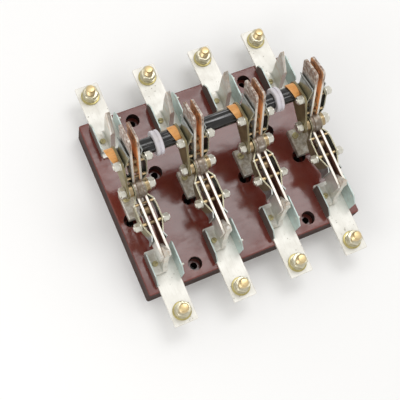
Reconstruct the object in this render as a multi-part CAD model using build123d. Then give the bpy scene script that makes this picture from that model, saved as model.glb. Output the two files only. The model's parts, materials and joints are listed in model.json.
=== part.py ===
from build123d import *
import math
import os

# A four-pole double-throw knife switch of the open type, for panel mounting.
# The origin is the middle of the base's underside. X runs along the row of poles,
# Y from the near row of terminals to the far row, and Z up from the base.

os.makedirs("parts", exist_ok=True)

# Poles
pole_count = 4
pole_pitch = 80.0

# Moulded base
base_side_margin = 29.0
base_depth = 238.0
base_height = 38.0
base_corner = 3.0
base_edge = 1.5
cut_overrun = 1.0

# Holes in the base
mount_spacing_x = 161.0
mount_spacing_y = 204.0
middle_hole_y = 26.0
hole_radius = 4.5
counterbore_radius = 9.0
counterbore_depth = 14.0
hole_boss_wall = 4.0
foot_hole_x = -14.0
foot_hole_y = -21.0

# Pockets in the underside of the base
pocket_columns = 8
pocket_rows = 6
rib_thickness = 5.0
rim_thickness = 10.0
pocket_roof = 16.0
pocket_corner = 2.0

# Terminal bars
bar_width = 31.0
bar_thickness = 4.0
bar_outer_end = 166.5
bar_inner_end = 66.0
bar_corner = 1.5
stud_offset = 150.5
stud_hole_clearance = 0.5

# Contact tongues, each bent from one strip with its foot
tongue_thickness = 6.0
tongue_inner_y = 72.5
tongue_outer_y = 95.0
tongue_foot_outer_y = 99.0
tongue_high_top = 108.0
near_tongue_profile = [(72.5, 90.0), (85.5, tongue_high_top), (88.5, 105.0)]
far_tongue_profile = [(78.5, 86.0), (98.5, tongue_high_top), (101.0, 105.0)]
tongue_lead_in = 1.6
steepest_slope = 0.5
tongue_foot_reach = 12.0
tongue_bend_radius = 3.0

# Side plates beside each contact
side_plate_thickness = 1.5
side_plate_inner_y = 70.0
side_plate_outer_y = 112.0
left_plate_top = 60.0
right_plate_top = 74.0
side_plate_outer_chamfer = 9.0
side_plate_inner_chamfer = 3.0

# Centre posts and hinge
hinge_height = 98.0
post_width = 26.0
post_neck_width = 20.0
post_shoulder_top = 62.0
post_top_radius = 13.0
centre_foot_near_y = -22.5
centre_foot_far_y = 14.0
centre_foot_width = 34.0
centre_foot_thickness = 10.0
centre_foot_edge = 1.0
hinge_pin_radius = 5.0
running_gap = 0.05

# Moving blades, two arms each in a V
blade_gap_clearance = 0.25
blade_thickness = 3.0
blade_length = 90.0
blade_width = 31.0
blade_taper_end = 62.0
blade_hub_radius = 12.0
blade_tip_corner = 5.0
lowered_edge_angle = 182.0
raised_edge_angle = 71.0

# Bowed spring plates outside the blades
spring_thickness = 1.5
spring_inset = 1.0
spring_rise_start = 10.5
spring_shoulder = 17.5
spring_shoulder_bow = 5.2
spring_flat_start = 26.0
spring_bow = 6.4
spring_flat_end = 44.0
spring_touch = 61.0
spring_touch_gap = 0.1
spring_tip = 67.5
spring_flare = 2.5
spring_bend_radius = 3.0

# Bolts, rods and spacers across the blades
clamp_position = 44.5
clamp_depth = 7.0
clamp_radius = 3.0
clamp_nut_across_flats = 10.0
clamp_nut_height = 6.0
clamp_washer_radius = 5.8
clamp_washer_thickness = 1.5
bolt_end = 1.5
spacer_position = 28.0
spacer_depth = 10.0
spacer_radius = 7.0
rivet_head_radius = 4.5
rivet_head_height = 1.0
rod_position = 19.5
rod_depth = 3.0
rod_radius = 1.8
fit_gap = 0.1

# Hinge stack outside the spring plates
hinge_disc_count = 4
hinge_disc_thickness = 1.45
hinge_disc_cone = 0.5
hinge_disc_radius = 8.5
hinge_disc_inner_radius = 6.5
hinge_nut_across_flats = 13.0
hinge_nut_height = 6.0
hinge_stack_gap = 0.3

# Insulated cross shaft
shaft_radius = 10.0
shaft_y = 36.0
shaft_rise = 28.6
shaft_overhang = 16.0
notch_gap = 0.3
ring_radius = 15.5
ring_width = 10.0
ring_groove = 1.0
ring_offset = -4.0

# Brackets that tie the shaft to the raised arms
bracket_thickness = 2.5
bracket_eye_radius = 14.0
bracket_ear_radius = 7.0
bracket_hinge_radius = 9.5

# Insulating collars with a mitred end
collar_radius = 12.5
collar_long = 11.0
collar_short = 1.0
collar_long_side_angle = 50.0

# Studs, nuts and washers
stud_radius = 6.0
shank_radius = 5.5
stud_above_bar = 26.0
stud_chamfer = 1.0
head_height = 7.5
nut_height = 10.0
nut_across_flats = 18.0
nut_chamfer = 1.0
washer_radius = 12.0
washer_thickness = 2.5
spring_washer_radius = 10.0
spring_washer_thickness = 3.0

# Worked-out sizes and places
pole_x = [(i - (pole_count - 1) / 2) * pole_pitch for i in range(pole_count)]
base_width = (pole_count - 1) * pole_pitch + 2 * base_side_margin
pocket_depth = base_height - pocket_roof
bar_top = base_height + bar_thickness
shaft_z = hinge_height + shaft_rise
blade_inner_x = tongue_thickness / 2 + blade_gap_clearance
blade_outer_x = blade_inner_x + blade_thickness
blade_middle_x = (blade_inner_x + blade_outer_x) / 2
spring_outer_x = blade_outer_x + spring_thickness
clamp_seat_x = spring_outer_x + spring_bow
bracket_outer_x = clamp_seat_x + bracket_thickness
shaft_left = pole_x[0] - bracket_outer_x - collar_long / 2
shaft_right = pole_x[-1] + shaft_overhang
ring_x = [(pole_x[i] + pole_x[i + 1]) / 2 + ring_offset for i in range(0, pole_count - 1, 2)]
mount_places = [
    (sx * mount_spacing_x / 2, y)
    for sx in (-1, 1)
    for y in (-mount_spacing_y / 2, middle_hole_y, mount_spacing_y / 2)
]
foot_hole_places = [(x + foot_hole_x, foot_hole_y) for x in pole_x]


def at(shape, x=0.0, y=0.0, z=0.0):
    """Return the shape moved by x, y, z."""
    return Pos(x, y, z) * shape


def block(x0, x1, y0, y1, z0, z1):
    """Return a box between two corners."""
    return at(Box(x1 - x0, y1 - y0, z1 - z0), (x0 + x1) / 2, (y0 + y1) / 2, (z0 + z1) / 2)


def plate_yz(points, x0, x1):
    """Return a flat plate with an outline in the YZ plane, between x0 and x1."""
    outline = Polyline(*[(0, y, z) for y, z in points], close=True)
    return at(extrude(make_face(outline), amount=x1 - x0, dir=(1, 0, 0)), x=x0)


def rod_x(radius, x0, x1, y=0.0, z=0.0):
    """Return a round bar along X."""
    return at(Rot(0, 90, 0) * Cylinder(radius, x1 - x0), (x0 + x1) / 2, y, z)


def rod_z(radius, z0, z1, x=0.0, y=0.0):
    """Return an upright round bar."""
    return at(Cylinder(radius, z1 - z0), x, y, (z0 + z1) / 2)


def hex_nut(across_flats, height):
    """Return an upright hexagon on z = 0 whose two ends are turned to a chamfer."""
    prism = extrude(RegularPolygon(across_flats / 2, 6, major_radius=False), amount=height)
    corner_radius = across_flats / math.sqrt(3)
    turned = chamfer(rod_z(corner_radius, 0, height).edges(), min(nut_chamfer, height / 4))
    return prism & turned


def hex_nut_x(across_flats, x0, x1):
    """Return a nut along X, between x0 and x1."""
    return at(Rot(0, 90, 0) * hex_nut(across_flats, x1 - x0), x=x0)


def both_ends(shape):
    """Return a shape on the +X side together with its mirror image."""
    return shape + mirror(shape, Plane.YZ)


def save(shapes, name):
    """Write one solid or several that don't touch as one sub-part."""
    solids = shapes if isinstance(shapes, list) else [shapes]
    shape = solids[0] if len(solids) == 1 else Compound(children=solids)
    export_step(shape, f"parts/{name}.step")


def far_side(shape):
    """Turn a piece of the near row half round, for the far row."""
    return Rot(0, 0, 180) * shape


def arm_places():
    """Turns that carry an arm laid along +Y with its body below to the two arms of a V."""
    raised = Rot(raised_edge_angle, 0, 0)
    lowered = Rot(lowered_edge_angle - 180, 0, 0) * Rot(0, 0, 180)
    return raised, lowered


def make_pockets():
    """Grid of pockets that lightens the underside, with a rib on each centre line."""
    column_pitch = (base_width - 2 * rim_thickness + rib_thickness) / pocket_columns
    row_pitch = (base_depth - 2 * rim_thickness + rib_thickness) / pocket_rows
    pocket = RectangleRounded(column_pitch - rib_thickness, row_pitch - rib_thickness, pocket_corner)
    grid = GridLocations(column_pitch, row_pitch, pocket_columns, pocket_rows) * pocket
    return extrude(Sketch() + grid, amount=pocket_depth)


def make_base():
    """Moulded base with counterbored holes in round bosses."""
    half_x, half_y = base_width / 2, base_depth / 2
    plate = block(-half_x, half_x, -half_y, half_y, 0, base_height)
    plate = fillet(plate.edges().filter_by(Axis.Z), base_corner)
    plate = fillet(plate.faces().sort_by(Axis.Z)[-1].edges(), base_edge)
    places = mount_places + foot_hole_places
    bosses = [rod_z(hole_radius + hole_boss_wall, 0, base_height, x, y) for x, y in places]
    plate -= make_pockets() - bosses
    for x, y in places:
        plate -= rod_z(hole_radius, -cut_overrun, base_height, x, y)
        plate -= rod_z(counterbore_radius, base_height - counterbore_depth, base_height + cut_overrun, x, y)
    return plate


def make_bar():
    """Flat terminal bar of the near row, with its stud hole."""
    bar = block(-bar_width / 2, bar_width / 2, -bar_outer_end, -bar_inner_end, base_height, bar_top)
    bar = fillet(bar.edges().filter_by(Axis.Z), bar_corner)
    hole = rod_z(stud_radius + stud_hole_clearance, base_height - cut_overrun, bar_top + cut_overrun)
    return bar - at(hole, y=-stud_offset)


def make_tongue(profile):
    """Contact tongue and foot on the near side: a bent strip whose upright is cut to a profile."""
    right = tongue_thickness / 2
    left = -right
    foot_left = left - tongue_foot_reach
    foot_top = bar_top + tongue_thickness
    outer_radius = tongue_bend_radius + tongue_thickness
    middle_line = FilletPolyline(
        (foot_left, bar_top + right), (0, bar_top + right), (0, tongue_high_top),
        radius=(tongue_bend_radius + outer_radius) / 2,
    )
    section = Plane.XZ * trace(middle_line, tongue_thickness)
    strip = extrude(section, amount=tongue_foot_outer_y, dir=(0, -1, 0))
    upright = [
        (-tongue_inner_y, foot_top),
        *[(-y, z) for y, z in profile],
        (-tongue_outer_y, foot_top + tongue_bend_radius),
        (-tongue_foot_outer_y, foot_top),
        (-tongue_foot_outer_y, bar_top),
        (-tongue_inner_y, bar_top),
    ]
    tongue = strip & plate_yz(upright, foot_left, right)
    above_bend = tongue.faces().filter_by(lambda face: face.center().Z > profile[0][1])
    slope = above_bend.filter_by(lambda face: face.normal_at().Z > steepest_slope).sort_by(SortBy.AREA)[-1]
    top_edges = slope.edges().filter_by(lambda edge: abs(edge.tangent_at(0.5).X) < steepest_slope)
    return chamfer(top_edges, tongue_lead_in)


def make_side_plates(y_sign):
    """Two thin plates that stand on the base beside a contact."""
    plates = []
    for x_sign, top in ((-1, left_plate_top), (1, right_plate_top)):
        outline = [
            (side_plate_inner_y, base_height),
            (side_plate_inner_y, top - side_plate_inner_chamfer),
            (side_plate_inner_y + side_plate_inner_chamfer, top),
            (side_plate_outer_y - side_plate_outer_chamfer, top),
            (side_plate_outer_y, top - side_plate_outer_chamfer),
            (side_plate_outer_y, base_height),
        ]
        x0, x1 = sorted((x_sign * bar_width / 2, x_sign * (bar_width / 2 + side_plate_thickness)))
        plates.append(plate_yz([(y_sign * y, z) for y, z in outline], x0, x1))
    return plates


def make_centre_post():
    """Foot and upright post that carry the hinge of one pole."""
    foot = block(
        -centre_foot_width / 2, centre_foot_width / 2, centre_foot_near_y, centre_foot_far_y,
        base_height, base_height + centre_foot_thickness,
    )
    foot = chamfer(foot.faces().sort_by(Axis.Z)[-1].edges(), centre_foot_edge)
    half = tongue_thickness / 2
    wide, neck = post_width / 2, post_neck_width / 2
    stem = plate_yz(
        [
            (-wide, base_height), (-wide, post_shoulder_top - (wide - neck)), (-neck, post_shoulder_top),
            (-neck, hinge_height), (neck, hinge_height), (neck, post_shoulder_top),
            (wide, post_shoulder_top - (wide - neck)), (wide, base_height),
        ],
        -half, half,
    )
    foot -= block(-centre_foot_width, centre_foot_width, wide, base_depth, 0, base_height)
    head = rod_x(post_top_radius, -half, half, z=hinge_height)
    return foot + stem + head - rod_x(hinge_pin_radius, -post_width, post_width, z=hinge_height)


def arm_outline(inset, length):
    """Corners of an arm laid along +Y with its front edge on z = 0, drawn in by an inset."""
    return [
        (0, -inset), (length, -inset), (length, inset - blade_width),
        (min(blade_taper_end, length), inset - blade_width), (0, inset - blade_hub_radius),
    ]


def cross_holes(gap):
    """Bores of one arm laid along +Y for its clamp bolt and its rod."""
    bores = rod_x(clamp_radius + gap, -post_width, post_width, clamp_position, -clamp_depth)
    return bores + rod_x(rod_radius + gap, -post_width, post_width, rod_position, -rod_depth)


def shaft_notch():
    """Round notch for the shaft, in the frame of the hinge."""
    return rod_x(shaft_radius + notch_gap, -post_width, post_width, shaft_y, shaft_rise)


def make_blade():
    """One V-shaped blade, centred on x = 0, with the hinge axis at y = z = 0."""
    half = blade_thickness / 2
    arm = plate_yz(arm_outline(0, blade_length), -half, half)
    arm = fillet(arm.edges().filter_by(Axis.X).group_by(Axis.Y)[-1], blade_tip_corner)
    arm -= cross_holes(fit_gap)
    arm -= rod_x(clamp_radius + fit_gap, -post_width, post_width, spacer_position, -spacer_depth)
    raised, lowered = arm_places()
    blade = raised * arm + lowered * arm + rod_x(blade_hub_radius, -half, half)
    return blade - rod_x(hinge_pin_radius + running_gap, -post_width, post_width) - shaft_notch()


def make_spring():
    """V-shaped spring plate on the +X side, flat on the hub and bowed along both arms."""
    x = spring_outer_x - spring_thickness / 2
    bow = FilletPolyline(
        (x, 0), (x, spring_rise_start), (x + spring_shoulder_bow, spring_shoulder),
        (x + spring_bow, spring_flat_start), (x + spring_bow, spring_flat_end),
        (x + spring_touch_gap, spring_touch), (x + spring_flare, spring_tip),
        radius=spring_bend_radius,
    )
    arm = extrude(trace(bow, spring_thickness), amount=-blade_width)
    arm &= plate_yz(arm_outline(spring_inset, spring_tip), 0, clamp_seat_x + spring_thickness)
    arm -= cross_holes(fit_gap)
    raised, lowered = arm_places()
    hub = rod_x(blade_hub_radius - spring_inset, blade_outer_x, spring_outer_x)
    plate = raised * arm + lowered * mirror(arm, Plane.YZ) + hub
    return plate - rod_x(hinge_pin_radius + running_gap, 0, post_width) - shaft_notch()


def clamp_nut(seat):
    """Washer and nut of a clamp bolt, seated at x = seat, with the bolt's end beyond them."""
    nut_base = seat + clamp_washer_thickness
    nut_end = nut_base + clamp_nut_height
    stack = rod_x(clamp_washer_radius, seat, nut_base)
    stack += hex_nut_x(clamp_nut_across_flats, nut_base, nut_end)
    return stack + rod_x(clamp_radius, nut_base, nut_end + bolt_end)


def make_clamp(left_seat):
    """Clamp bolt of an arm laid along +Y, its left washer seated at left_seat."""
    bolt = rod_x(clamp_radius, -left_seat, clamp_seat_x)
    bolt += clamp_nut(clamp_seat_x) + mirror(clamp_nut(left_seat), Plane.YZ)
    return at(bolt, y=clamp_position, z=-clamp_depth)


def make_spacer():
    """Spacer between the blades of an arm laid along +Y, with its riveted ends."""
    end = blade_outer_x + rivet_head_height
    spacer = rod_x(spacer_radius, -blade_inner_x, blade_inner_x)
    spacer += rod_x(clamp_radius, -end, end)
    spacer += both_ends(rod_x(rivet_head_radius, blade_outer_x, end))
    return at(spacer, y=spacer_position, z=-spacer_depth)


def make_rod():
    """Thin rod across blades and spring plates near the hinge."""
    return rod_x(rod_radius, fit_gap - clamp_seat_x, clamp_seat_x, rod_position, -rod_depth)


def make_disc(x):
    """One disc spring of the hinge stack, its narrow face at x."""
    cone = loft([
        Plane.YZ.offset(x) * Circle(hinge_disc_inner_radius),
        Plane.YZ.offset(x + hinge_disc_cone) * Circle(hinge_disc_radius),
    ])
    return cone + rod_x(hinge_disc_radius, x + hinge_disc_cone, x + hinge_disc_thickness)


def make_hinge_bolt():
    """Hinge bolt with disc springs and a nut at each end; the left nut also holds the bracket."""
    stack_start = spring_outer_x + hinge_stack_gap
    right_seat = stack_start + hinge_disc_count * hinge_disc_thickness
    left_seat = bracket_outer_x + hinge_stack_gap
    bolt = rod_x(
        hinge_pin_radius, -left_seat - hinge_nut_height - bolt_end, right_seat + hinge_nut_height + bolt_end
    )
    for number in range(hinge_disc_count):
        bolt += both_ends(make_disc(stack_start + number * hinge_disc_thickness))
    bolt += hex_nut_x(hinge_nut_across_flats, -left_seat - hinge_nut_height, -left_seat)
    return bolt + hex_nut_x(hinge_nut_across_flats, right_seat, right_seat + hinge_nut_height)


def make_bracket():
    """Plated bracket that ties the shaft to the hinge and the clamp bolt of the raised arm."""
    raised, _ = arm_places()
    ear = (raised * Pos(0, clamp_position, -clamp_depth)).position
    corners = [
        Circle(bracket_hinge_radius),
        Pos(shaft_y, shaft_rise) * Circle(bracket_eye_radius),
        Pos(ear.Y, ear.Z) * Circle(bracket_ear_radius),
    ]
    outline = make_hull([edge for corner in corners for edge in corner.edges()])
    bracket = at(extrude(Plane.YZ * outline, amount=bracket_thickness), x=-bracket_outer_x)
    bracket -= rod_x(shaft_radius, -post_width, 0, shaft_y, shaft_rise)
    bracket -= rod_x(hinge_pin_radius + running_gap, -post_width, 0)
    return bracket - rod_x(clamp_radius + fit_gap, -post_width, 0, ear.Y, ear.Z)


def make_collar():
    """Insulating collar beside a bracket, cut to a mitre at its left end."""
    collar = rod_x(collar_radius, -bracket_outer_x - collar_long, -bracket_outer_x)
    collar -= rod_x(shaft_radius, -bracket_outer_x - collar_long, -bracket_outer_x)
    slope = (collar_long - collar_short) / (2 * collar_radius)
    angle = math.radians(collar_long_side_angle)
    mitre = Plane(
        origin=(-bracket_outer_x - (collar_long + collar_short) / 2, 0, 0),
        z_dir=(1, slope * math.cos(angle), slope * math.sin(angle)),
    )
    return split(collar, bisect_by=mitre, keep=Keep.TOP)


def make_ring():
    """Nylon ring on the shaft, with a shallow groove round its rim."""
    ring = rod_x(ring_radius, -ring_width / 2, ring_width / 2)
    ring = chamfer(ring.edges(), ring_groove)
    groove = rod_x(ring_radius, -ring_groove, ring_groove)
    groove -= rod_x(ring_radius - ring_groove, -ring_width, ring_width)
    return ring - groove - rod_x(shaft_radius, -ring_width, ring_width)


def make_stud():
    """Terminal bolt of the near row from below, with its washers and nut."""
    stud_top = bar_top + stud_above_bar
    nut_base = bar_top + washer_thickness + spring_washer_thickness
    nut_top = nut_base + nut_height
    thread = chamfer(rod_z(stud_radius, nut_base, stud_top).edges().group_by(Axis.Z)[-1], stud_chamfer)
    stack = at(hex_nut(nut_across_flats, head_height), z=base_height - head_height)
    stack += rod_z(shank_radius, base_height - head_height, nut_top) + thread
    stack += rod_z(washer_radius, bar_top, bar_top + washer_thickness)
    stack += rod_z(spring_washer_radius, bar_top + washer_thickness, nut_base)
    stack += at(hex_nut(nut_across_flats, nut_height), z=nut_base)
    return at(stack, y=-stud_offset)


save(make_base(), "base_plate")
bar = make_bar()
near_tongue = make_tongue(near_tongue_profile)
far_tongue = mirror(make_tongue(far_tongue_profile), Plane.XZ)
post = make_centre_post()
blade = make_blade()
spring = make_spring()
for number, x in enumerate(pole_x, start=1):
    save(at(bar, x), f"near_terminal_{number}")
    save(at(far_side(bar), x), f"far_terminal_{number}")
    save(at(near_tongue, x), f"near_tongue_{number}")
    save(at(far_tongue, x), f"far_tongue_{number}")
    save(at(post, x), f"centre_post_{number}")
    save([at(blade, x + s * blade_middle_x, z=hinge_height) for s in (-1, 1)], f"blade_pair_{number}")
    save([at(s, x, z=hinge_height) for s in (spring, mirror(spring, Plane.YZ))], f"spring_plates_{number}")

raised_place, lowered_place = arm_places()
raised_pieces = [raised_place * piece for piece in (make_clamp(bracket_outer_x), make_spacer(), make_rod())]
closed_pieces = [lowered_place * piece for piece in (make_clamp(clamp_seat_x), make_spacer(), make_rod())]
ring = make_ring()
stud = make_stud()


def one_each(shapes, z=0.0, y=0.0):
    """Copy shapes to every pole."""
    return [at(shape, x, y, z) for x in pole_x for shape in shapes]


save(one_each(make_side_plates(-1)), "near_side_plates")
save(one_each(make_side_plates(1)), "far_side_plates")
save(one_each([make_hinge_bolt()], hinge_height), "hinge_bolts")
save(one_each(raised_pieces, hinge_height), "raised_clamp_bolts")
save(one_each(closed_pieces, hinge_height), "closed_clamp_bolts")
save(one_each([stud]), "near_studs")
save(one_each([far_side(stud)]), "far_studs")
save(one_each([make_bracket()], hinge_height), "shaft_brackets")
save(one_each([make_collar()], shaft_z, shaft_y), "shaft_insulators")
save([at(ring, x, shaft_y, shaft_z) for x in ring_x], "shaft_rings")
save(rod_x(shaft_radius, shaft_left, shaft_right, shaft_y, shaft_z), "cross_shaft")
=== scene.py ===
# %% [markdown]
# # A four-pole knife switch, dressed for the camera
# The real object is an open double-throw switch: a glossy maroon moulding carries four poles, and
# in each pole a pair of copper blades turns on a hinge between a near and a far contact tongue.
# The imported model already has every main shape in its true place, so this lesson loads it as a
# frame, finishes its surfaces, and adds the small fasteners and threads that a hand would feel.

# %% Load the frame
import json
import math
import bpy
from mathutils import Matrix, Vector


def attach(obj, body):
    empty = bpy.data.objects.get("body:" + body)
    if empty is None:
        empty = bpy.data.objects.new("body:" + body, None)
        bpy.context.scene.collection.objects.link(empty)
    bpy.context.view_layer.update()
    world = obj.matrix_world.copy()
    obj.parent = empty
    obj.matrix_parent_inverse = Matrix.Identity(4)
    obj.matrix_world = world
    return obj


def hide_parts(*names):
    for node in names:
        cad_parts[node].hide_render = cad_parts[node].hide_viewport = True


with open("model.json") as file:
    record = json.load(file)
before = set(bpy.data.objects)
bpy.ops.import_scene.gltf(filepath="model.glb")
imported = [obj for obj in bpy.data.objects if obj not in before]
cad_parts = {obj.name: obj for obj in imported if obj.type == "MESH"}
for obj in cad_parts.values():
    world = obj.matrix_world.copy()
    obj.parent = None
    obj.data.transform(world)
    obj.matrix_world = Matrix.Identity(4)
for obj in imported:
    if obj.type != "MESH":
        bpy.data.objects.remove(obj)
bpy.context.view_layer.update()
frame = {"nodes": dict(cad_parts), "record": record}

bpy.ops.object.select_all(action="DESELECT")

# %% [markdown]
# ## Camera
# The photograph was taken from above and a little to the left, with the far end of the switch
# tipped up. A camera can be turned by hand until it fits, but here two of its axes were worked
# out from the parallel edges of the base, and the third is square to both. The three are the
# columns of its matrix. The shifts slide the picture, since the photograph was cropped.

# %% Place the camera
camera_spot = Vector((-0.3103, -0.2630, 1.1064))
camera_back = Vector((-0.2578, -0.2169, 0.9416)).normalized()
camera_right = Vector((0.9027, -0.4015, 0.1546))
camera_data = bpy.data.cameras.new("camera")
camera_data.lens = 79.36
camera_data.sensor_width = 36.0
camera_data.shift_x = -0.0328
camera_data.shift_y = -0.0363
camera = bpy.data.objects.new("camera", camera_data)
bpy.context.scene.collection.objects.link(camera)
camera_right = (camera_right - camera_right.dot(camera_back) * camera_back).normalized()
camera_up = camera_back.cross(camera_right)
camera_turn = Matrix((camera_right, camera_up, camera_back)).transposed().to_4x4()
camera.matrix_world = Matrix.Translation(camera_spot) @ camera_turn
bpy.context.scene.camera = camera
bpy.context.scene.view_settings.view_transform = "Standard"
print("camera looks along", tuple(round(v, 3) for v in -camera_back))

# %% [markdown]
# ## Shader arithmetic
# A worn or mottled finish is a small sum: where is the edge, how rough is the noise, how much
# of one colour shows over another. Drawing each sum with dozens of nodes by hand is slow to
# read, so a shader socket is wrapped in a class that understands Python's own signs. Every
# other node comes from one method that takes its type, its settings and its socket values.

# %% The socket class and the finish class
class Wire:
    """A shader socket that can be added, subtracted, multiplied and compared."""

    def __init__(self, finish, socket):
        self.finish = finish
        self.socket = socket

    def sum_with(self, operation, first, second):
        return self.finish.node("ShaderNodeMath", {"operation": operation}, {0: first, 1: second})

    def __add__(self, other):
        return self.sum_with("ADD", self, other)

    def __radd__(self, other):
        return self.sum_with("ADD", other, self)

    def __sub__(self, other):
        return self.sum_with("SUBTRACT", self, other)

    def __rsub__(self, other):
        return self.sum_with("SUBTRACT", other, self)

    def __mul__(self, other):
        return self.sum_with("MULTIPLY", self, other)

    def __rmul__(self, other):
        return self.sum_with("MULTIPLY", other, self)

    def below(self, other):
        return self.sum_with("LESS_THAN", self, other)

    def above(self, other):
        return self.sum_with("GREATER_THAN", self, other)

    def fade(self, start, end):
        """0 at start and 1 at end, held at both ends."""
        return self.finish.node("ShaderNodeMapRange", {"clamp": True}, {0: self, 1: start, 2: end})


class Finish:
    """One material while its nodes are being laid."""

    def __init__(self, name):
        self.material = bpy.data.materials.new(name)
        self.material.use_nodes = True
        self.nodes = self.material.node_tree.nodes
        self.links = self.material.node_tree.links
        self.shader = self.nodes["Principled BSDF"]
        self.place = self.node("ShaderNodeTexCoord", out="Object")

    def plug(self, value, socket):
        if isinstance(value, Wire):
            self.links.new(value.socket, socket)
        else:
            socket.default_value = value

    def node(self, kind, settings=None, values=None, out=0):
        node = self.nodes.new(kind)
        for key, value in (settings or {}).items():
            setattr(node, key, value)
        for key, value in (values or {}).items():
            self.plug(value, node.inputs[key])
        return Wire(self, node.outputs[out])

    def noise(self, grain, detail=3.0, stretch=(1, 1, 1), rough=0.55):
        """Noise whose patches are about grain metres across, stretched along an axis."""
        place = self.node("ShaderNodeMapping", {}, {0: self.place, 3: [1 / s for s in stretch]})
        values = {"Vector": place, "Scale": 1 / grain, "Detail": detail, "Roughness": rough}
        return self.node("ShaderNodeTexNoise", {}, values, out="Fac")

    def cells(self, grain):
        """Round specks about grain metres apart: 0 at each middle."""
        values = {"Vector": self.place, "Scale": 1 / grain}
        return self.node("ShaderNodeTexVoronoi", {"feature": "F1"}, values, out="Distance")

    def axis(self, name):
        return self.node("ShaderNodeSeparateXYZ", {}, {0: self.place}, out=name)

    def facing(self, name):
        """How far the surface faces along an axis, from -1 to 1."""
        normal = self.node("ShaderNodeNewGeometry", out="True Normal")
        return self.node("ShaderNodeSeparateXYZ", {}, {0: normal}, out=name)

    def mix(self, under, over, mask):
        return self.node("ShaderNodeMix", {"data_type": "RGBA"}, {0: mask, 6: under, 7: over}, out=2)

    def edges(self, radius):
        """1 along the edges of the piece, within radius metres, and 0 on its flats."""
        flat = self.node("ShaderNodeNewGeometry", out="True Normal")
        rounded = self.node("ShaderNodeBevel", {"samples": 4}, {"Radius": radius})
        both = {0: flat, 1: rounded}
        agree = self.node("ShaderNodeVectorMath", {"operation": "DOT_PRODUCT"}, both, out="Value")
        return (1 - agree).fade(0.02, 0.22)

    def bump(self, height, depth):
        """Raise the surface by depth metres where height is 1."""
        values = {"Height": height, "Distance": depth, "Strength": 1.0}
        self.plug(self.node("ShaderNodeBump", {}, values), self.shader.inputs["Normal"])

    def recolor(self, over, mask):
        """Lay one more colour over the base colour that was set before."""
        under = Wire(self, self.shader.inputs["Base Color"].links[0].from_socket)
        self.plug(self.mix(under, over, mask), self.shader.inputs["Base Color"])

    def pole_side(self, pitch):
        """The distance from the nearest pole's middle, and 1 where the surface looks at it."""
        half = pitch / 2
        seam = 0.0005
        across = self.node("ShaderNodeMath", {"operation": "PINGPONG"}, {0: self.axis("X"), 1: half})
        within = {0: self.axis("X"), 1: pitch, 2: 0.0}
        left = (self.node("ShaderNodeMath", {"operation": "WRAP"}, within) - half).fade(-seam, seam)
        return half - across, (self.facing("X") * (1 - 2 * left)).above(0.5)

    def reach(self, height):
        """The distance from the hinge line, which runs along X at a height."""
        arm = self.node("ShaderNodeCombineXYZ", {}, {1: self.axis("Y"), 2: self.axis("Z") - height})
        return self.node("ShaderNodeVectorMath", {"operation": "LENGTH"}, {0: arm}, out="Value")

    def surface(self, color, rough, metal=0.0, coat=0.0):
        self.plug(color, self.shader.inputs["Base Color"])
        self.plug(rough, self.shader.inputs["Roughness"])
        self.plug(metal, self.shader.inputs["Metallic"])
        self.plug(coat, self.shader.inputs["Coat Weight"])


finishes = {}
print("finish class ready")

# %% [markdown]
# ## The moulded base
# The base is compression-moulded from a maroon thermosetting resin. Such mouldings are glossy
# where the steel mould was polished, mottled by the filler that flowed in it, and dulled by
# handling and dust. One noise sets the slow change of colour, a finer one the filler, and
# stretched noise gives the faint wiping marks that break up the reflections. The sides of the
# plate were never polished, so a dull film of dust takes the place of the gloss there.

# %% Maroon moulding
maroon_deep = (0.130, 0.023, 0.015, 1)
maroon_light = (0.180, 0.034, 0.023, 1)
filler_dark = (0.060, 0.014, 0.012, 1)
dust_pale = (0.260, 0.150, 0.120, 1)
rubbed_pale = (0.270, 0.100, 0.075, 1)
side_dark = (0.046, 0.026, 0.022, 1)
side_dusty = (0.072, 0.044, 0.038, 1)
resin_ior = 1.56

base = Finish("maroon_moulding")
cloud = base.noise(0.06, 4.0)
filler = base.noise(0.0016, 2.0)
wiping = base.noise(0.004, 3.0, stretch=(9, 1, 1))
dust = (base.noise(0.022, 5.0) - 0.5).fade(0.0, 0.3) * base.facing("Z").fade(0.3, 0.9)
maroon = base.mix(maroon_deep, maroon_light, cloud.fade(0.3, 0.7))
maroon = base.mix(maroon, filler_dark, filler.fade(0.56, 0.72) * 0.5)
maroon = base.mix(maroon, dust_pale, dust * 0.12)
rubbed = base.edges(0.0012)
maroon = base.mix(maroon, rubbed_pale, rubbed * 0.55)
base.surface(maroon, 0.10 + wiping.fade(0.35, 0.75) * 0.10 + dust * 0.22 + rubbed * 0.15)
base.shader.inputs["IOR"].default_value = resin_ior
base.bump(base.noise(0.035, 2.0) + filler * 0.05, 0.0004)
dust_film = base.noise(0.014, 5.0, stretch=(1, 1, 1.5))
dull_side = base.mix(side_dark, side_dusty, dust_film.fade(0.35, 0.75))
side_values = {"Base Color": dull_side, "Roughness": 0.75, "Specular IOR Level": 0.12}
side_shader = base.node("ShaderNodeBsdfPrincipled", {}, side_values)
upright = 1 - base.facing("Z").above(0.3)
top_shader = Wire(base, base.shader.outputs[0])
top_and_sides = base.node("ShaderNodeMixShader", {}, {0: upright, 1: top_shader, 2: side_shader})
base.links.new(top_and_sides.socket, base.nodes["Material Output"].inputs["Surface"])
finishes["base_moulding"] = base
print("maroon moulding laid")

# %% [markdown]
# ## Tinned copper
# Bars, tongues and posts are copper, dipped or plated with tin so that their joints stay bright.
# Tin is soft: it shows fine sawn and rolled lines along the bar, small dark specks where it has
# oxidised, and copper where an edge or a wiping contact has worn through. The three finishes
# share one recipe that takes how dull and how speckled the tin is and which way it was rolled.

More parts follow.
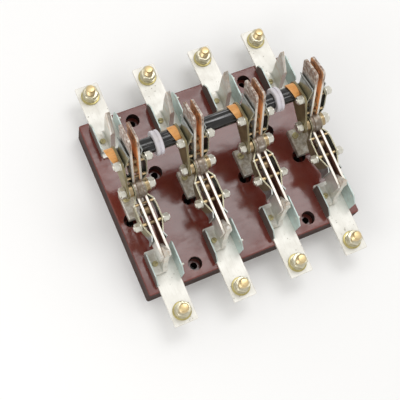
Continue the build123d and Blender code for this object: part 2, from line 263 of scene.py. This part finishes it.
# %% Tin over copper
tin_bright = (0.840, 0.825, 0.775, 1)
tin_dull = (0.590, 0.560, 0.490, 1)
copper_bare = (0.640, 0.330, 0.180, 1)
oxide = (0.210, 0.175, 0.120, 1)
bar_edge_shade = (0.300, 0.255, 0.190, 1)
post_mottle = (0.420, 0.320, 0.190, 1)
post_grime = (0.240, 0.190, 0.130, 1)
black_grease = (0.150, 0.105, 0.070, 1)
foot_height = 0.046
head_height = 0.084


def tinned(name, dullness, speckle, rolled=(1, 12, 1)):
    """A tinned copper finish; returns it with its colour and roughness, for the caller to lay."""
    finish = Finish(name)
    rolling = finish.noise(0.0011, 3.0, stretch=rolled)
    patches = finish.noise(0.018, 4.0)
    color = finish.mix(tin_bright, tin_dull, patches.fade(0.42, 0.75) * dullness)
    color = finish.mix(color, tin_dull, rolling.fade(0.52, 0.80) * 0.35)
    specks = (1 - finish.cells(0.0042).fade(0.10, 0.24)) * finish.noise(0.012, 2.0).fade(0.48, 0.62)
    color = finish.mix(color, oxide, specks * speckle)
    worn = finish.edges(0.0009) * finish.noise(0.0035, 3.0).fade(0.44, 0.62)
    color = finish.mix(color, copper_bare, worn * 0.55)
    rough = 0.30 + rolling * 0.16 + specks * 0.25 + patches.fade(0.4, 0.8) * 0.10
    finish.bump(rolling * 0.5 + patches * 0.6 - specks * 0.4, 0.00012)
    return finish, color, rough


bar, color, rough = tinned("tinned_bar", 0.35, 0.55)
# painted shade: a dark line is painted along the edges of each bar
color = bar.mix(color, bar_edge_shade, bar.edges(0.0010) * 0.65)
bar.surface(color, rough + 0.08, 0.55)
finishes["tinned_copper"] = bar

post, color, rough = tinned("tinned_post", 0.8, 0.35, rolled=(1, 1, 9))
grime = (post.axis("Z") - foot_height).fade(0.010, 0.0) * post.noise(0.006, 3.0).fade(0.35, 0.7)
mottle = post.noise(0.0045, 4.0).fade(0.42, 0.62)
color = post.mix(color, post_mottle, mottle * 0.55)
post.surface(post.mix(color, post_grime, grime * 0.75), rough + grime * 0.2, 0.65)
head_grease = (post.axis("Z") - head_height).fade(0.0, 0.004) * post.noise(0.005, 3.0).fade(0.15, 0.50)
post.recolor(black_grease, head_grease * 0.85)
finishes["tinned_post"] = post
print("tinned bar and post laid")

# %% [markdown]
# ## Wiped contact tongues
# The blades grip a tongue from both sides each time the switch closes. The strip that they wipe
# loses its tin in fine lines along the swing, and the sloping lead-in at the top is worn most.

# %% Tongue
wiped_copper = (0.700, 0.480, 0.300, 1)
lead_in_brown = (0.420, 0.300, 0.190, 1)
foot_stain = (0.330, 0.270, 0.160, 1)
stain_low = 0.044
stain_top = 0.056
wiped_low = 0.064
wiped_full = 0.074
lead_in_low = 0.088
lead_in_top = 0.104

tongue, color, rough = tinned("tinned_tongue", 0.35, 0.4, rolled=(1, 1, 8))
height = tongue.axis("Z")
strokes = tongue.noise(0.0012, 2.0, stretch=(1, 14, 3)).fade(0.46, 0.68)
wiped = height.fade(wiped_low, wiped_full) * strokes
color = tongue.mix(color, wiped_copper, wiped * 0.50)
lead_in = height.fade(lead_in_low, lead_in_top) * tongue.noise(0.005, 3.0).fade(0.40, 0.60)
color = tongue.mix(color, lead_in_brown, lead_in * 0.45)
stain = height.fade(stain_top, stain_low) * tongue.noise(0.008, 4.0).fade(0.38, 0.66)
color = tongue.mix(color, foot_stain, stain * 0.60)
tongue.surface(color, rough + stain * 0.15 - wiped * 0.08, 0.60)
finishes["tinned_tongue"] = tongue
print("tongue laid")

# %% [markdown]
# ## Plated steel
# Side plates, springs, bolts and brackets are zinc-plated steel. The passivation over the zinc
# gives each its tint: blue-green on the thin plates, clear on the small bolts, iridescent
# yellow on the big studs and olive on the brackets. A single recipe takes the tint and its
# stain, and adds blotches, fine specks and rubbed edges that show the grey zinc.

# %% Zinc plate in its tints
pole_pitch = 0.080
hinge_height = 0.098
bare_zinc = (0.800, 0.800, 0.770, 1)


def plated(name, slot, tint, stain, blotch=0.55, metal=0.85, rough=0.34, grain=0.010):
    """Zinc plate with a passivation colour; stain is the colour of its darker patches."""
    finish = Finish(name)
    patches = finish.noise(grain, 4.0)
    fine = finish.noise(0.0012, 3.0)
    color = finish.mix(tint, stain, patches.fade(0.42, 0.72) * blotch)
    color = finish.mix(color, stain, fine.fade(0.55, 0.75) * 0.25)
    rubbed = finish.edges(0.0007) * fine.fade(0.35, 0.55)
    color = finish.mix(color, bare_zinc, rubbed * 0.55)
    finish.surface(color, rough + patches * 0.14 + fine * 0.08, metal)
    finish.bump(patches * 0.4 + fine * 0.3, 0.00010)
    if slot:
        finishes[slot] = finish
    return finish


side_plate = plated(
    "zinc_side_plate", "side_plate_zinc", tint=(0.560, 0.680, 0.660, 1), stain=(0.340, 0.350, 0.300, 1),
    blotch=0.5, metal=0.60, rough=0.38,
)
# painted shade: faces that look towards -X and away from the pole are painted nearly black, their edges
# left out
_, looks_in = side_plate.pole_side(pole_pitch)
outside = side_plate.facing("X").below(-0.5) * (1 - looks_in) * (1 - side_plate.edges(0.0010))
outside_shade_dark = (0.110, 0.082, 0.070, 1)
outside_shade_pale = (0.200, 0.165, 0.140, 1)
plate_edge_highlight = (0.700, 0.740, 0.710, 1)
painted_outside_shade = side_plate.mix(outside_shade_dark, outside_shade_pale, side_plate.noise(0.008, 4.0))
side_plate.recolor(painted_outside_shade, outside * 0.92)
# painted highlight: the edges of the side plates are painted pale
side_plate.recolor(plate_edge_highlight, side_plate.edges(0.0008) * 0.7)
spring = plated(
    "zinc_spring", "spring_steel", tint=(0.330, 0.305, 0.190, 1), stain=(0.170, 0.150, 0.090, 1),
    blotch=0.55, metal=0.80, rough=0.30,
)
bolt = plated(
    "zinc_bolt", "bolt_zinc", tint=(0.800, 0.785, 0.710, 1), stain=(0.440, 0.385, 0.260, 1),
    blotch=0.45, metal=0.90, rough=0.26, grain=0.004,
)
plated(
    "zinc_yellow", "yellow_zinc", tint=(0.780, 0.620, 0.340, 1), stain=(0.480, 0.330, 0.150, 1),
    blotch=0.50, metal=0.90, rough=0.24, grain=0.005,
)
plated(
    "zinc_olive", "bracket_yellow", tint=(0.300, 0.250, 0.130, 1), stain=(0.120, 0.100, 0.060, 1),
    blotch=0.60, metal=0.80, rough=0.34,
)
print("plated finishes:", len(finishes))

# %% [markdown]
# ## Painted shade, reflection and highlight that follow the pole
# The springs are painted dark where they face the blades, as painted shade, and their rolled
# ends are painted blue-grey with scratch lines, as a painted reflection. Their thin edges are
# painted bright, as a painted highlight. The bolts are painted brown between the springs and
# darker between the blades, as painted shade, and are bright outside.

# %% Springs and bolts by their place
end_reflection_blue = (0.400, 0.430, 0.430, 1)
scratch_dark = (0.210, 0.230, 0.230, 1)
inner_shade = (0.030, 0.042, 0.034, 1)
spring_edge_highlight = (0.840, 0.815, 0.720, 1)
bolt_shade_brown = (0.600, 0.400, 0.150, 1)
bolt_shade_dark = (0.200, 0.140, 0.080, 1)
flare_start = 0.0595
flare_full = 0.0610
stack_half = 0.0130
blades_half = 0.0078

_, looks_in = spring.pole_side(pole_pitch)
spring_reach = spring.reach(hinge_height)
flare_end = spring_reach.fade(flare_start, flare_full)
scratched = spring.noise(0.0014, 3.0, stretch=(1, 5, 5)).fade(0.40, 0.70)
end_reflection = spring.mix(end_reflection_blue, scratch_dark, scratched)
# painted shade: faces that look into the pole, towards the blades, are painted nearly black
spring.recolor(inner_shade, looks_in * 0.9)
# painted reflection: the outside faces of the flared ends are painted blue-grey, crossed by scratch lines
spring.recolor(end_reflection, flare_end * (1 - looks_in))
# painted highlight: the thin edges of the springs are painted pale
spring.recolor(spring_edge_highlight, spring.edges(0.0008) * 0.85)
bolt_off, _ = bolt.pole_side(pole_pitch)
# painted shade: the bolts are painted brown between the springs and darker, in patches, between the
# blades
bolt.recolor(bolt_shade_brown, bolt_off.below(stack_half) * 0.75)
bolt_shade_mask = bolt_off.below(blades_half) * bolt.noise(0.003, 3.0).fade(0.10, 0.45)
bolt.recolor(bolt_shade_dark, bolt_shade_mask * 0.90)
print("springs and bolts tinted")

# %% [markdown]
# ## Copper blades
# The blades are bare copper on their inner faces, where they grip the tongues, and tinned
# outside. Their tips are scorched brown by small arcs, and their worn tip edges are painted near
# white, partly as new bare metal and partly as a painted highlight. The inner faces are found by
# their distance from the middle of the pole, and the tips by their distance from the hinge line.

# %% Blade copper
outer_wear = (0.500, 0.420, 0.300, 1)
copper_bright = (0.980, 0.520, 0.210, 1)
copper_dark = (0.720, 0.340, 0.140, 1)
copper_rubbed = (0.980, 0.640, 0.340, 1)
copper_shaded = (0.200, 0.100, 0.065, 1)
scorched = (0.230, 0.125, 0.085, 1)
edge_copper = (0.560, 0.340, 0.210, 1)
edge_fresh_and_glint = (0.960, 0.900, 0.800, 1)
slot_half = 0.0036
hub_full = 0.0120
hub_end = 0.0150
tip_start = 0.064
tip_full = 0.078

blade = Finish("blade_copper")
off_middle, _ = blade.pole_side(pole_pitch)
inner_band = off_middle.below(slot_half)
reach = blade.reach(hinge_height)
raised = (blade.axis("Z") - hinge_height).fade(0.006, 0.014)
rub = blade.noise(0.0012, 3.0, stretch=(1, 6, 6))
patches = blade.noise(0.012, 4.0)
tin = blade.mix(tin_bright, tin_dull, patches.fade(0.4, 0.7) * 0.55)
tin = blade.mix(tin, outer_wear, rub.fade(0.52, 0.75) * 0.35)
copper = blade.mix(copper_bright, copper_dark, patches.fade(0.38, 0.72))
copper = blade.mix(copper, copper_rubbed, rub.fade(0.50, 0.74) * 0.6)
copper = blade.mix(copper_shaded, copper, raised)
color = blade.mix(tin, copper, inner_band)
hub = reach.fade(hub_end, hub_full) * blade.noise(0.004, 3.0).fade(0.15, 0.50)
color = blade.mix(color, black_grease, hub * 0.85)
tip = reach.fade(tip_start, tip_full) * blade.noise(0.0045, 4.0).fade(0.30, 0.56) * raised
color = blade.mix(color, scorched, tip * 0.85)
worn = blade.edges(0.0010)
fresh_and_glint = worn * blade.noise(0.0022, 3.0).fade(0.42, 0.56)
color = blade.mix(color, edge_copper, worn * 0.75)
# worn edges towards the tips are painted near white: new bare metal, with a painted highlight
color = blade.mix(color, edge_fresh_and_glint, fresh_and_glint * reach.fade(0.050, 0.080) * 0.8)
blade.surface(color, 0.38 + rub * 0.14 + tip * 0.18, 0.80 - inner_band * 0.65)
blade.bump(rub * 0.4 + patches * 0.5 + tip * 0.6, 0.00014)
finishes["blade_copper"] = blade
print("blade copper laid")

# %% [markdown]
# ## Insulating shaft, collars and rings
# The shaft is a glossy black tube of rolled laminate, so the four poles move as one and stay
# insulated from each other. The orange collars are the same kind of laminate in its natural
# colour, and show its layers on the cut end. The rings are white nylon, which yellows unevenly.
# A fine pale line runs round the shaft near its middle, as at a joint between two lengths.

# %% Shaft, collar and ring
joint_left = 0.023
joint_right = 0.024
joint_soft = (0.0003, 0.0007)

shaft = Finish("black_laminate")
scuffs = shaft.noise(0.0018, 4.0, stretch=(8, 1, 1)).fade(0.56, 0.78)
black = shaft.mix((0.010, 0.009, 0.009, 1), (0.060, 0.050, 0.045, 1), scuffs * 0.6)
past_right = (shaft.axis("X") - joint_right).fade(*joint_soft)
joint_line = (1 - past_right) * (shaft.axis("X") - joint_left).fade(*joint_soft)
black = shaft.mix(black, (0.300, 0.270, 0.240, 1), joint_line * 0.5)
# painted highlight: thin pale lines along the shaft stand in for the lamps' reflections on the gloss
highlight_streaks = shaft.noise(0.0016, 2.0, stretch=(40, 1, 1)).fade(0.60, 0.68)
black = shaft.mix(black, (0.420, 0.420, 0.440, 1), highlight_streaks * 0.75)
shaft.surface(black, 0.07 + scuffs * 0.22)
shaft.bump(scuffs * -1.0 - joint_line, 0.0001)
finishes["shaft_black"] = shaft

collar = Finish("orange_laminate")
layers = collar.noise(0.0010, 2.0, stretch=(12, 1, 1))
clouds = collar.noise(0.008, 4.0).fade(0.3, 0.7)
orange = collar.mix((0.740, 0.310, 0.070, 1), (0.840, 0.430, 0.140, 1), clouds)
orange = collar.mix(orange, (0.420, 0.170, 0.050, 1), layers.fade(0.50, 0.72) * 0.5)
orange = collar.mix(orange, (0.900, 0.680, 0.420, 1), collar.edges(0.0010) * 0.5)
collar.surface(orange, 0.34 + layers * 0.2)
collar.bump(layers, 0.00012)
finishes["insulator_orange"] = collar

ring = Finish("white_nylon")
yellowing = ring.noise(0.010, 4.0).fade(0.40, 0.75)
nylon = ring.mix((0.700, 0.670, 0.720, 1), (0.600, 0.550, 0.520, 1), yellowing * 0.7)
nylon = ring.mix(nylon, (0.380, 0.350, 0.360, 1), ring.noise(0.0022, 3.0).fade(0.60, 0.78) * 0.5)
ring.surface(nylon, 0.32 + yellowing * 0.15)
ring.shader.inputs["Subsurface Weight"].default_value = 0.15
ring.shader.inputs["Subsurface Radius"].default_value = (0.002, 0.002, 0.002)
ring.bump(ring.noise(0.0016, 2.0), 0.00010)
finishes["ring_nylon"] = ring
print("insulating finishes laid")

# %% [markdown]
# ## Dressing the frame
# Each CAD node names a material slot in the record, so the finishes are handed out by that name.

# %% Hand out the finishes
for part in frame["record"]["subparts"]:
    node = frame["nodes"][part["node"]]
    node.data.materials.clear()
    node.data.materials.append(finishes[part["material_slot"]].material)

# %% [markdown]
# ## Modelling helpers
# Each new piece is made as a person would make it: a primitive is added at its size and place,
# shaped in edit mode, and given a bevel that is applied at once. The helpers below keep that
# short. An operator works on whatever is selected, so faces are picked by the way they look.

# %% Helpers for modelling
millimetre = 0.001
pole_count = 4
pole_places = [pole_pitch * (number - (pole_count - 1) / 2) for number in range(pole_count)]
sharp_angle = 0.6
level = 0.9


def named(name):
    """Name the primitive that was just added."""
    piece = bpy.context.active_object
    piece.name = name
    piece.data.name = name
    return piece


def drum(name, radius, low, high, spot=(0.0, 0.0), sides=48):
    """An upright cylinder between two heights, in millimetres, over a spot in metres."""
    middle = (low + high) / 2 * millimetre
    bpy.ops.mesh.primitive_cylinder_add(
        vertices=sides, radius=radius * millimetre, depth=(high - low) * millimetre,
        location=(spot[0], spot[1], middle),
    )
    return named(name)


def only(piece):
    """Select one piece and make it active."""
    bpy.ops.object.select_all(action="DESELECT")
    piece.select_set(True)
    bpy.context.view_layer.objects.active = piece


def pick_faces(piece, test):
    """Enter edit mode with just the faces selected whose normal passes the test."""
    only(piece)
    bpy.ops.object.mode_set(mode="EDIT")
    bpy.ops.mesh.select_mode(type="FACE")
    bpy.ops.mesh.select_all(action="DESELECT")
    bpy.ops.object.mode_set(mode="OBJECT")
    for face in piece.data.polygons:
        face.select = test(face.normal)
    bpy.ops.object.mode_set(mode="EDIT")


def is_top(normal):
    """True for a level face that looks up."""
    return normal.z > level


def is_end(normal):
    """True for a level face at either end of a drum."""
    return abs(normal.z) > level


def apply_modifier(piece, kind, **settings):
    """Add a modifier, set it and apply it."""
    only(piece)
    modifier = piece.modifiers.new(kind.lower(), kind)
    for key, value in settings.items():
        setattr(modifier, key, value)
    bpy.ops.object.modifier_apply(modifier=modifier.name)


def ease_edges(piece, width, segments=2):
    """Round the sharp edges by width millimetres."""
    apply_modifier(
        piece, "BEVEL", width=width * millimetre, segments=segments,
        limit_method="ANGLE", angle_limit=sharp_angle,
    )


def settle(piece, finish, body=None):
    """Put the piece's place into its mesh, smooth it, and give it its finish and its body."""
    only(piece)
    bpy.ops.object.transform_apply(location=True, rotation=True, scale=True)
    bpy.ops.object.shade_smooth_by_angle(angle=sharp_angle)
    piece.data.materials.clear()
    piece.data.materials.append(finish.material)
    if body:
        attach(piece, body)


def copy_to(piece, offset, name):
    """Copy a settled piece, with a mesh of its own, moved by offset metres."""
    twin = piece.copy()
    twin.data = piece.data.copy()
    twin.name = name
    twin.data.name = name
    bpy.context.scene.collection.objects.link(twin)
    twin.data.transform(Matrix.Translation(offset))
    return twin


def join(pieces, name):
    """Join several pieces into one."""
    bpy.ops.object.select_all(action="DESELECT")
    for piece in pieces:
        piece.select_set(True)
    bpy.context.view_layer.objects.active = pieces[0]
    bpy.ops.object.join()
    return named(name)


print("modelling helpers ready")

# %% [markdown]
# ## Terminal studs
# An M12 bolt comes up through each bar from below, with a flat washer, a split spring washer and
# a nut. A nut is a hexagon whose ends were turned to a cone, which leaves the arcs on its six
# corners, so it is cut from a hexagonal drum and a chamfered round one. The thread is drawn up
# ring by ring: the top of a drum is extruded by half a pitch, out to the crest and in to the root.
# Radii and heights are in millimetres, as on a drawing, and places on the plate are in metres.

# %% A turned hexagon
just_over = 1.001
thread_depth = 0.55


def hexagon(name, across_flats, low, high, chamfer, spot=(0.0, 0.0)):
    """A hexagon between two heights with turned ends, in millimetres, over a spot in metres."""
    corner = across_flats / math.sqrt(3)
    nut = drum(name, corner, low, high, spot, sides=6)
    turned = drum("turned", corner * just_over, low, high, spot, sides=48)
    pick_faces(turned, is_end)
    bpy.ops.mesh.bevel(offset=chamfer * millimetre, segments=1, affect="EDGES")
    bpy.ops.object.mode_set(mode="OBJECT")
    apply_modifier(nut, "BOOLEAN", operation="INTERSECT", object=turned, solver="EXACT")
    bpy.data.objects.remove(turned)
    ease_edges(nut, 0.25, 1)
    return nut


def threaded(name, radius, pitch, low, high, spot=(0.0, 0.0)):
    """The thread of a stud between two heights, in millimetres; its tip is a drum of its own."""
    root = radius - pitch * thread_depth
    thread = drum(name, root, low - pitch, low, spot, sides=40)
    pick_faces(thread, is_top)
    rise = (0, 0, pitch / 2 * millimetre)
    centre = (spot[0], spot[1], 0)
    for _ in range(int((high - low) / pitch)):
        for grow in (radius / root, root / radius):
            bpy.ops.mesh.extrude_region_move(TRANSFORM_OT_translate={"value": rise})
            bpy.ops.transform.resize(value=(grow, grow, 1), center_override=centre)
    bpy.ops.object.mode_set(mode="OBJECT")
    return thread


print("hexagon and thread ready")

# %% One stud stack
stud_y = -150.5 * millimetre
stud_spot = (0.0, stud_y)
across_flats = 18.0
corner_chamfer = 1.3
washer_radius = 12.0
spring_washer_radius = 10.0
spring_washer_width = 3.4
shank_radius = 5.5
thread_radius = 6.0
thread_pitch = 1.75
tip_radius = 5.0

head_bottom = 30.5
shank_bottom = 37.5
head_top = 38.0
bar_top = 42.0
washer_top = 44.5
spring_washer_top = 47.4
nut_bottom = 47.5
thread_bottom = 57.0
nut_top = 57.5
tip_bottom = 66.4
thread_top = 66.6
stud_top = 68.0

slit_turn = math.radians(35)
slit_place = (6.5 * millimetre, stud_y - 7 * millimetre, 46 * millimetre)
slit_size = (1.3 * millimetre, 9 * millimetre, 7 * millimetre)

washer = drum("washer", washer_radius, bar_top, washer_top, stud_spot, 64)
ease_edges(washer, 0.5)
spring_washer = drum("spring_washer", spring_washer_radius, washer_top, spring_washer_top, stud_spot, 64)
pick_faces(spring_washer, is_end)
bpy.ops.mesh.inset(thickness=spring_washer_width * millimetre)
bpy.ops.object.mode_set(mode="OBJECT")
bpy.ops.mesh.primitive_cube_add(size=1, location=slit_place)
slit = named("slit")
slit.scale = slit_size
slit.rotation_euler = (0.0, slit_turn, slit_turn)
only(slit)
bpy.ops.object.transform_apply(rotation=True, scale=True)
apply_modifier(spring_washer, "BOOLEAN", operation="DIFFERENCE", object=slit, solver="EXACT")
bpy.data.objects.remove(slit)
ease_edges(spring_washer, 0.3)
nut = hexagon("nut", across_flats, nut_bottom, nut_top, corner_chamfer, stud_spot)
head = hexagon("head", across_flats, head_bottom, head_top, corner_chamfer, stud_spot)
shank = drum("shank", shank_radius, shank_bottom, thread_bottom, stud_spot, 32)
thread = threaded("thread", thread_radius, thread_pitch, thread_bottom, thread_top, stud_spot)
tip = drum("tip", tip_radius, tip_bottom, stud_top, stud_spot, 40)
ease_edges(tip, 0.9, 3)
stack_pieces = [nut, head, spring_washer, washer, shank, thread, tip]
print("stud stack:", sum(len(piece.data.polygons) for piece in stack_pieces), "faces")

# %% Studs on all eight bars
nut_finish = plated(
    "zinc_nut", None, tint=(0.660, 0.625, 0.480, 1), stain=(0.380, 0.310, 0.170, 1),
    blotch=0.6, metal=0.92, rough=0.20, grain=0.004,
)
washer_finish = plated(
    "zinc_washer", None, tint=(0.560, 0.480, 0.200, 1), stain=(0.300, 0.240, 0.090, 1),
    blotch=0.6, metal=0.88, rough=0.28, grain=0.004,
)
for piece in (nut, head, spring_washer):
    settle(piece, nut_finish)
settle(washer, washer_finish)
for piece in (shank, thread, tip):
    settle(piece, finishes["yellow_zinc"])
stack = join(stack_pieces, "stud_stack")
near_stacks = [copy_to(stack, (x, 0, 0), "near_stud_piece") for x in pole_places]
near_row = join(near_stacks, "near_stud_row")
far_row = copy_to(near_row, (0, 0, 0), "far_stud_row")
far_row.data.transform(Matrix.Rotation(math.pi, 4, "Z"))
bpy.data.objects.remove(stack)
for row, node in ((near_row, "near_studs"), (far_row, "far_studs")):
    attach(row, "fixed_base")
    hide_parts(node)
print("stud rows:", len(near_row.data.polygons), "faces each")

# %% [markdown]
# ## Screws in the feet
# Each contact tongue and each centre post stands on a foot that is screwed down. The screws are
# cheese heads: a drum whose middle is inset and raised a little, with a slot cut across the top
# and all edges eased. Each is turned a little differently, as screws are after tightening.

# %% Foot screws
foot_screw_bottom = 47.9
tongue_screw_radius = 3.6
tongue_screw_top = 50.2
tongue_screw_x = -0.0090
tongue_screw_y = 0.0855
post_screw_radius = 4.2
post_screw_top = 50.8
post_screw_x = 0.0105
post_screw_y = 0.0040


def foot_screw(name, radius, high, spot, turn):
    """A slotted screw head on a foot, its slot turned by some degrees."""
    rim_width = radius * 0.22
    crown_rise = radius * 0.10
    slot_length = radius * 3
    slot_width = radius * 0.32
    slot_height = radius * 0.7
    screw = drum(name, radius, foot_screw_bottom, high, spot, 32)
    pick_faces(screw, is_top)
    bpy.ops.mesh.inset(thickness=rim_width * millimetre)
    bpy.ops.transform.translate(value=(0, 0, crown_rise * millimetre))
    bpy.ops.object.mode_set(mode="OBJECT")
    bpy.ops.mesh.primitive_cube_add(size=1, location=(spot[0], spot[1], high * millimetre))
    cutter = named("slot_cutter")
    cutter.scale = (slot_length * millimetre, slot_width * millimetre, slot_height * millimetre)
    cutter.rotation_euler = (0, 0, math.radians(turn))
    apply_modifier(screw, "BOOLEAN", operation="DIFFERENCE", object=cutter, solver="EXACT")
    bpy.data.objects.remove(cutter)
    ease_edges(screw, 0.25, 2)
    settle(screw, screw_finish, "fixed_base")


screw_finish = plated(
    "zinc_screw", None, tint=(0.560, 0.500, 0.270, 1), stain=(0.260, 0.200, 0.090, 1),
    blotch=0.6, metal=0.85, rough=0.34, grain=0.004,
)
for number, x in enumerate(pole_places):
    for far, y in enumerate((-tongue_screw_y, tongue_screw_y)):
        name = "tongue_screw_%d_%d" % (number + 1, far + 1)
        turn = 25 + 47 * (2 * number + far)
        foot_screw(name, tongue_screw_radius, tongue_screw_top, (x + tongue_screw_x, y), turn)
for number, x in enumerate(pole_places):
    for side in (-1, 1):
        name = "post_screw_%d_%d" % (number + 1, side + 2)
        turn = 31 * number + 60 * side
        foot_screw(name, post_screw_radius, post_screw_top, (x + side * post_screw_x, post_screw_y), turn)
print("foot screws on", len(pole_places), "poles")

# %% [markdown]
# ## Screws through the side plates
# A small bright screw passes through the outer corner of each taller side plate, where an arc
# barrier would be fixed. Only its domed nut and the end of its shank stand out, to the right of
# the plate. They are made upright, where their sizes are easy to give, and then turned on end.

# %% Side screws
side_nut_radius = 2.6
side_nut_height = 3.0
side_end_radius = 1.5
side_end_height = 5.2
side_screw_x = 0.01695
side_screw_y = 0.1010
side_screw_z = 0.0665

for number, x in enumerate(pole_places):
    for far, y in enumerate((-side_screw_y, side_screw_y)):
        name = "side_screw_%d_%d" % (number + 1, far + 1)
        screw = drum(name, side_nut_radius, 0.0, side_nut_height, sides=24)
        ease_edges(screw, 1.1, 4)
        shank_end = drum("shank_end", side_end_radius, side_nut_height, side_end_height, sides=20)
        ease_edges(shank_end, 0.3, 1)
        screw = join([screw, shank_end], name)
        screw.data.transform(Matrix.Rotation(math.pi / 2, 4, "Y"))
        screw.matrix_world = Matrix.Identity(4)
        screw.data.transform(Matrix.Translation((x + side_screw_x, y, side_screw_z)))
        settle(screw, finishes["bolt_zinc"], "fixed_base")
print("side screws on", len(pole_places), "poles")

# %% [markdown]
# ## Floor and light
# The switch lies on a plain white floor in an even, pale room. A large softbox hangs where the
# glossy base mirrors it towards the lens, which gives the base its pink sheen and the bars their
# white, and a second one at the left keeps the shadows soft. The floor is white because its own
# colour is, so the metal mirrors the same floor and the switch keeps its shadow on it.

# %% Floor
floor_size = 8.0
paper_light = (0.97, 0.97, 0.97, 1)
paper_shade = (0.95, 0.95, 0.95, 1)

bpy.ops.mesh.primitive_plane_add(size=floor_size, location=(0, 0, 0))
floor = bpy.context.active_object
floor.name = "floor"
paper = Finish("floor_paper")
paper.surface(paper.mix(paper_light, paper_shade, paper.noise(0.5, 2.0)), 0.9)
paper.shader.inputs["Specular IOR Level"].default_value = 0.0
floor.data.materials.append(paper.material)
print("floor laid")

# %% Room and softboxes
room_color = (1.0, 0.99, 0.97, 1)
room_strength = 0.77
overhead_spot = (0.42, 0.36, 1.5)
overhead_target = (0.42, 0.36, 0)
side_spot = (-1.3, -0.5, 1.0)
side_target = (0, 0, 0.05)

world = bpy.data.worlds.new("room")
world.use_nodes = True
bpy.context.scene.world = world
room = world.node_tree.nodes["Background"]
room.inputs["Color"].default_value = room_color
room.inputs["Strength"].default_value = room_strength


def softbox(name, spot, target, width, depth, radiance):
    """A rectangular lamp at spot that looks at target; radiance is the brightness of its face."""
    lamp = bpy.data.lights.new(name, "AREA")
    lamp.shape = "RECTANGLE"
    lamp.size = width
    lamp.size_y = depth
    lamp.energy = radiance * math.pi * width * depth
    holder = bpy.data.objects.new(name, lamp)
    bpy.context.scene.collection.objects.link(holder)
    aim = (Vector(target) - Vector(spot)).to_track_quat("-Z", "Y")
    holder.matrix_world = Matrix.Translation(spot) @ aim.to_matrix().to_4x4()


softbox("overhead_softbox", overhead_spot, overhead_target, width=0.72, depth=0.56, radiance=3.9)
softbox("side_softbox", side_spot, side_target, width=1.0, depth=0.8, radiance=2.6)
print("room and softboxes lit")
